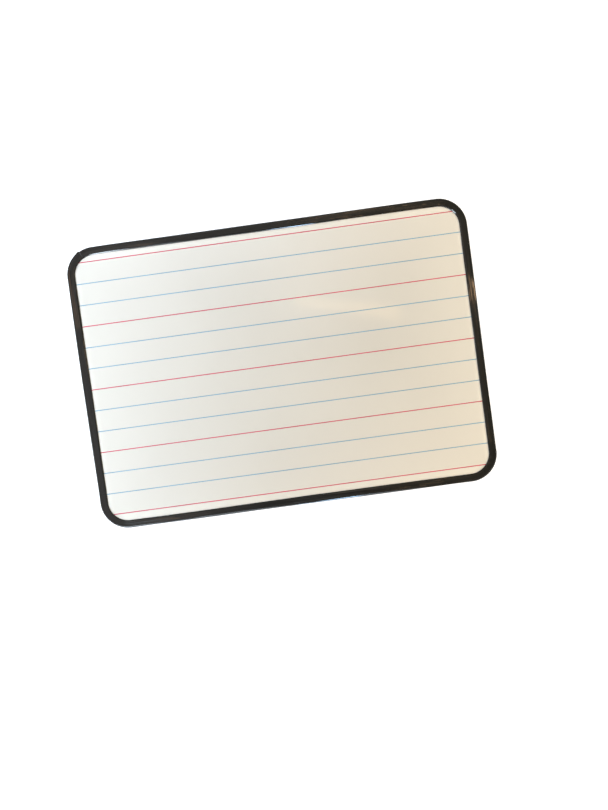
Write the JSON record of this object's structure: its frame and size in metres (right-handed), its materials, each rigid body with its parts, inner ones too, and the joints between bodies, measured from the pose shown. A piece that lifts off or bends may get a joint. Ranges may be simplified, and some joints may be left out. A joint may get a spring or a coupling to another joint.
{
  "type": "magnetic whiteboard",
  "caption": "Hand-held magnetic whiteboard: a flat steel-faced laminated panel with a ruled dry-wipe face and a rounded black U-channel edging.",
  "frame": {"origin": "under the middle of the board, on the surface that its back lies on", "axes": "+X along the writing lines, to the right; +Y up the page; +Z out of the ruled writing face"},
  "size_m": [0.3002, 0.2122, 0.0051],
  "materials": {
    "edging": "satin",
    "front_film": "gloss",
    "back_film": "satin",
    "sheet_steel": "satin",
    "glue": "matte",
    "fibreboard": "matte"
  },
  "bodies": {
    "root": {"edge_trim": "edging", "front_writing_film": "front_film", "front_steel_sheet": "sheet_steel", "front_glue_sheet": "glue", "core_board": "fibreboard", "back_glue_sheet": "glue", "back_steel_sheet": "sheet_steel", "back_writing_film": "back_film"}
  },
  "joints": []
}
